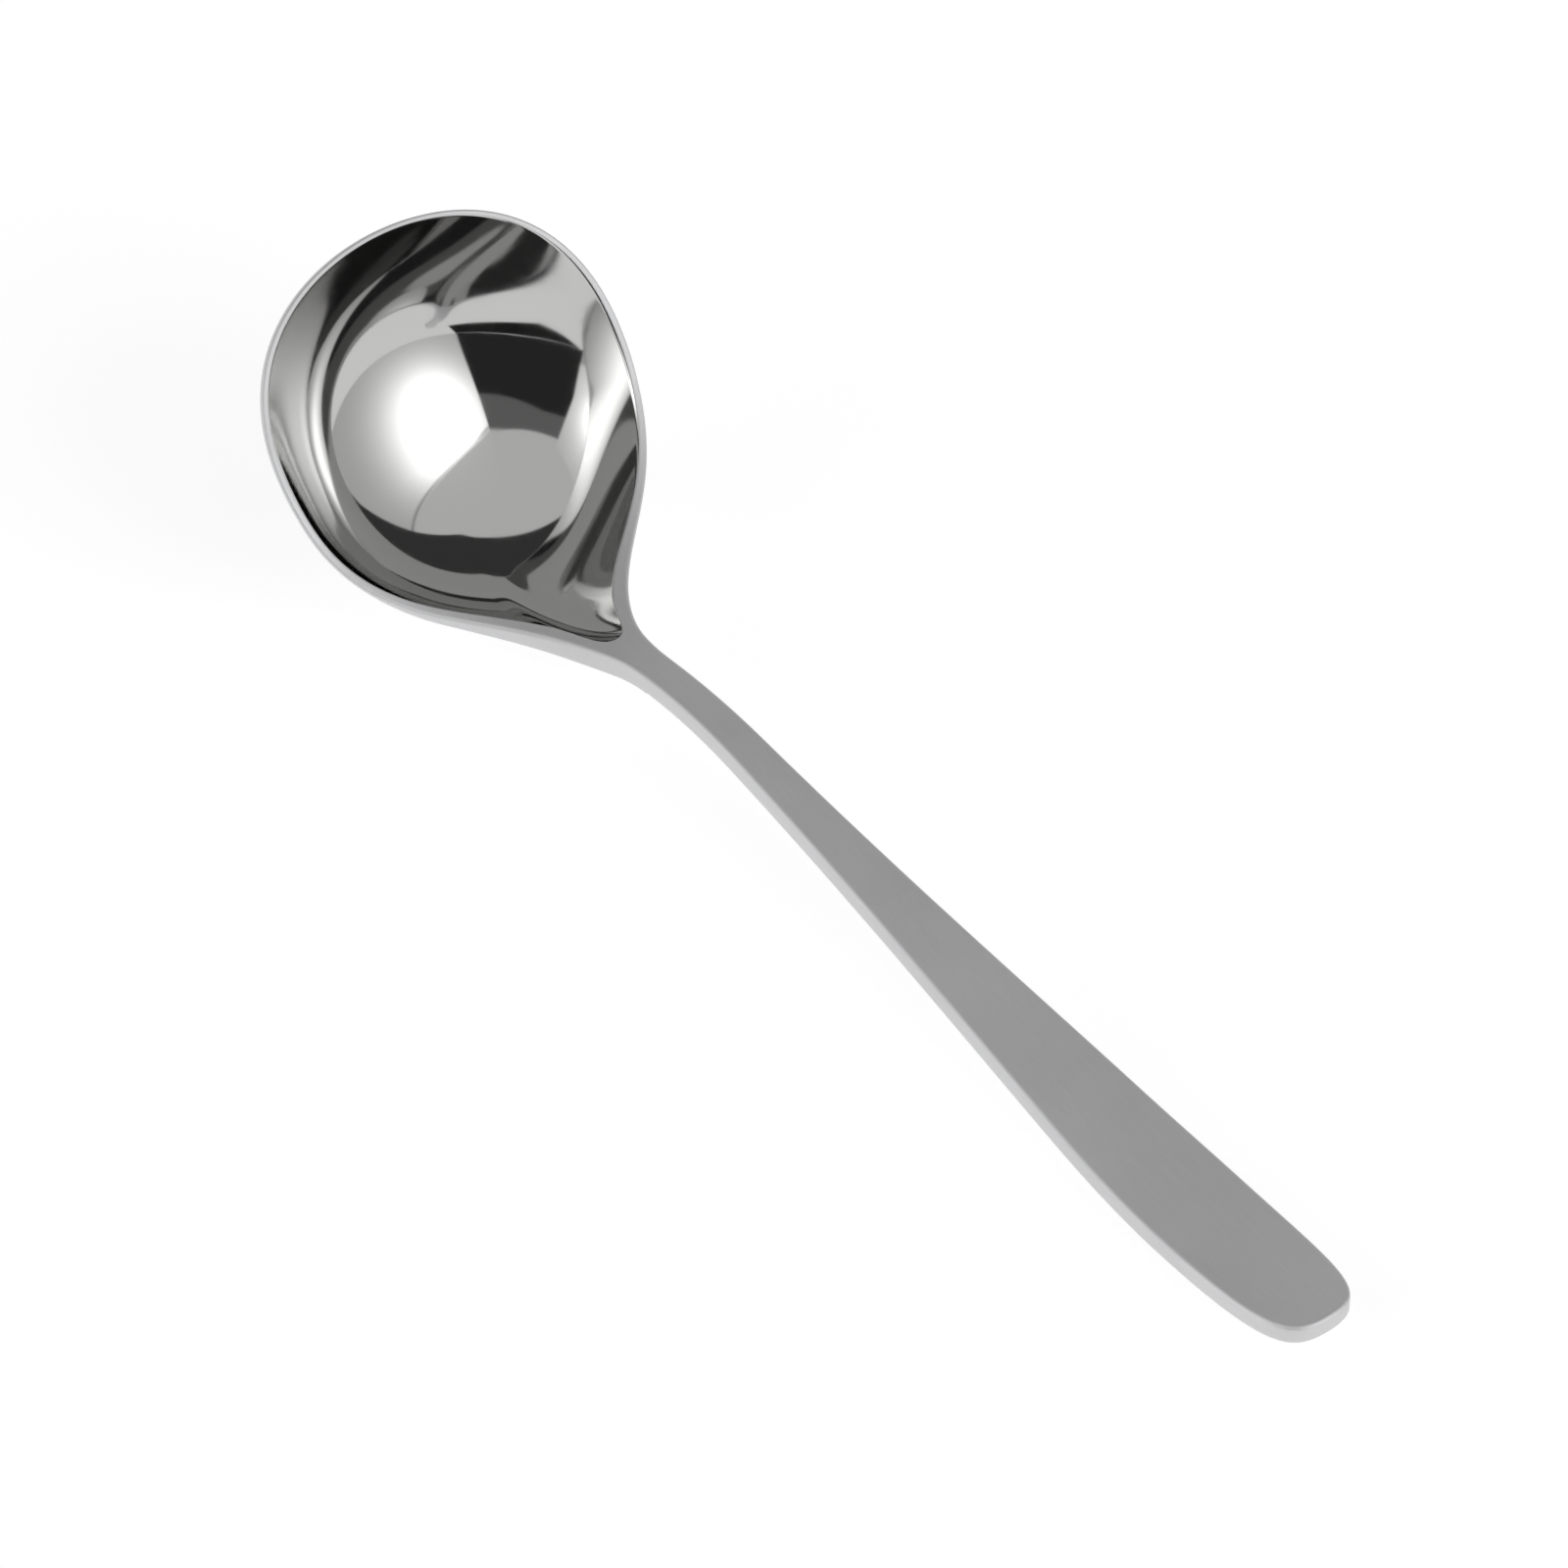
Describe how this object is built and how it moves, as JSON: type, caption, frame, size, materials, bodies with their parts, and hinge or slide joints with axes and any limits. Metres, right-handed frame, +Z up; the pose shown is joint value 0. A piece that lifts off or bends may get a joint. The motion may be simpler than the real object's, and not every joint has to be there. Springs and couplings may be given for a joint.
{
  "type": "soup spoon",
  "caption": "Small steel ladle spoon: a deep round bowl tilted up from the table, a narrow neck and a flat handle that widens to a rounded tip, for serving soup or sauce.",
  "frame": {"origin": "on the table under the middle of the spoon's box: the spoon stands on the bottom of its bowl and on the underside of its handle", "axes": "+X from the bowl to the tip of the handle, +Y across, +Z up"},
  "size_m": [0.1968, 0.054, 0.0443],
  "materials": {
    "polished_steel": "stainless steel, mirror-polished in the hollow, satin on the land round it and outside; no plating",
    "satin_steel": "stainless steel with a fine satin finish"
  },
  "bodies": {
    "root": {"bowl": "polished_steel", "handle": "satin_steel"}
  },
  "joints": []
}
